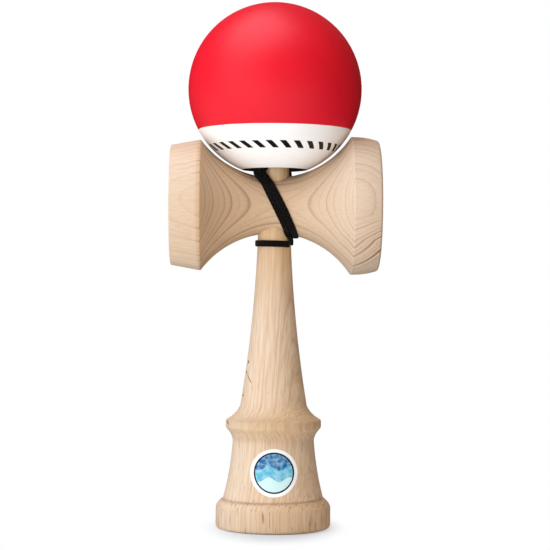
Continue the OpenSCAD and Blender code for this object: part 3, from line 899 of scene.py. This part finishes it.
def blackBraid(name, y):
    material, tree, shader = newMaterial(name)
    u, v = split(tree, addNode(tree, "ShaderNodeUVMap", uv_map="braid").outputs[0])[:2]
    across = calc(tree, "MULTIPLY", u, y["strandsRound"])
    down = calc(tree, "MULTIPLY", v, y["strandsAlong"])
    left = calc(tree, "SINE", calc(tree, "MULTIPLY", calc(tree, "ADD", across, down), math.pi))
    right = calc(tree, "SINE", calc(tree, "MULTIPLY", calc(tree, "SUBTRACT", across, down), math.pi))
    strands = calc(tree, "MAXIMUM", left, right)
    fuzz = noise(tree, objectPoint(tree), y["fuzzScale"])
    tree.links.new(blendColour(tree, strands, y["dark"], y["light"]), shader.inputs["Base Color"])
    rough = calc(tree, "MULTIPLY_ADD", fuzz, y["roughSpread"], y["roughness"])
    tree.links.new(rough, shader.inputs["Roughness"])
    addBump(tree, shader, calc(tree, "MULTIPLY_ADD", fuzz, y["fuzzHeight"], strands), y)
    shader.inputs["Specular IOR Level"].default_value = y["specular"]
    shader.inputs["Sheen Weight"].default_value = y["sheen"]
    return material


def dress(piece, material):
    piece.data.materials.clear()
    piece.data.materials.append(material)


braidBlack = blackBraid("braidBlack", yarn)
dress(kenTurned, handleBeech)
dress(saradoTurned, crossBeech)
dress(tamaTurned, ballPaint(paint))
dress(beadTurned, beadBeech)
for piece in (stringLoop, stringTuck, stringBack, stringHitch, beadKnot):
    dress(piece, braidBlack)
print("materials set")

# what each piece stands for and moves with
rides = (
    (kenTurned, "ken", "ken"), (saradoTurned, "sarado", "sarado"), (tamaTurned, "tama", "tama"),
    (beadTurned, "bead", "bead"), (beadKnot, "bead_knot", "bead"), (stringHitch, "string_hitch", "ken"),
)
for piece, node, body in rides:
    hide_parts(node)
    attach(piece, body)
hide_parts("string_loop")
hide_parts("string_tuck")
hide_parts("string_sling", "string_back")
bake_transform(stringLoop)
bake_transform(stringTuck)
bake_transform(stringBack)
print("pieces joined to their bodies")

# floor, light and background
studio = {
    "floorSize": 6, "floorTone": (0.66, 0.7, 0.75, 1), "floorRough": 0.9, "floorLift": 0.04,
    "shadowReach": (0.021, 0.047), "shadowSqueeze": (1.75, 1, 1),
    "glowFrom": (-0.68, -0.73, 0), "glowAcross": (-0.2, 0.2), "glowSide": (0.15, 1.65),
    "world": 0.32, "gloss": 0.02, "shade": (1.0, 0.66, 0.4, 1), "white": (1, 1, 1, 1), "aim": (0, 0, 0.1),
}
lamps = {
    "key": {"energy": 8.4, "tint": (0.92, 1.0, 1.08), "shine": True,
            "place": (-1.45, -1.0, 0.75), "size": 1.5},
    "fill": {"energy": 4.6, "tint": (1, 1, 1), "shine": False,
             "place": (-0.3, -0.8, 0.02), "size": 0.4},
    "back": {"energy": 14.0, "tint": (1, 0.97, 0.94), "shine": False,
             "place": (0.25, 1.5, 0.8), "size": 1.5},
    "top": {"energy": 22.0, "tint": (0.88, 1.0, 1.12), "shine": True,
            "place": (-0.4, -0.24, 1.52), "size": 1.5},
}


# white floor that keeps the shadow near the toy and runs out into the white background
def floorWhite(s):
    material, tree, shader = newMaterial("floorWhite")
    rays = addNode(tree, "ShaderNodeLightPath")
    seen = rays.outputs["Is Camera Ray"]
    shader.inputs["Base Color"].default_value = s["floorTone"]
    shader.inputs["Roughness"].default_value = s["floorRough"]
    shader.inputs["Specular IOR Level"].default_value = 0
    shader.inputs["Emission Color"].default_value = s["white"]
    tree.links.new(calc(tree, "MULTIPLY", seen, s["floorLift"]), shader.inputs["Emission Strength"])
    squeeze = addNode(tree, "ShaderNodeVectorMath", operation="MULTIPLY")
    tree.links.new(objectPoint(tree), squeeze.inputs[0])
    squeeze.inputs[1].default_value = s["shadowSqueeze"]
    reach = addNode(tree, "ShaderNodeVectorMath", operation="LENGTH")
    tree.links.new(squeeze.outputs[0], reach.inputs[0])
    fade = mapRange(tree, reach.outputs["Value"], *s["shadowReach"], kind="SMOOTHSTEP")
    across = addNode(tree, "ShaderNodeVectorMath", operation="DOT_PRODUCT")
    tree.links.new(objectPoint(tree), across.inputs[0])
    across.inputs[1].default_value = s["glowFrom"]
    side = mapRange(tree, across.outputs["Value"], *s["glowAcross"], *s["glowSide"])
    glow = calc(tree, "MAXIMUM", seen, calc(tree, "MULTIPLY", rays.outputs["Is Diffuse Ray"], side))
    white = addNode(tree, "ShaderNodeEmission")
    tree.links.new(glow, white.inputs["Strength"])
    mix = addNode(tree, "ShaderNodeMixShader")
    for socket, source in zip(mix.inputs, (fade, shader.outputs[0], white.outputs[0])):
        tree.links.new(source, socket)
    tree.links.new(mix.outputs[0], tree.nodes["Material Output"].inputs[0])
    return material


def lightStudio(s):
    clearSelection()
    bpy.ops.mesh.primitive_plane_add(size=s["floorSize"], location=(0, 0, 0))
    floor = bpy.context.object
    floor.name = "floor"
    floor.data.materials.append(floorWhite(s))
    for name, looks in lamps.items():
        bpy.ops.object.light_add(type="AREA", location=looks["place"])
        lamp = bpy.context.object
        lamp.name = name + "Light"
        lamp.data.energy = looks["energy"]
        lamp.data.size = looks["size"]
        lamp.data.color = looks["tint"]
        lamp.visible_glossy = looks["shine"]
        aim = Vector(s["aim"]) - Vector(looks["place"])
        lamp.rotation_euler = aim.to_track_quat("-Z", "Y").to_euler()
    world = bpy.data.worlds.new("studio")
    bpy.context.scene.world = world
    world.use_nodes = True
    tree = world.node_tree
    rays = addNode(tree, "ShaderNodeLightPath")
    seen = rays.outputs["Is Camera Ray"]
    background = tree.nodes["Background"]
    tree.links.new(blendColour(tree, seen, s["shade"], s["white"]), background.inputs["Color"])
    level = calc(tree, "MULTIPLY_ADD", seen, 1 - s["world"], s["world"])
    level = calc(tree, "MULTIPLY_ADD", rays.outputs["Is Glossy Ray"], s["gloss"] - s["world"], level)
    tree.links.new(level, background.inputs["Strength"])
    bpy.context.scene.view_settings.view_transform = "Standard"


lightStudio(studio)
print("studio lit")
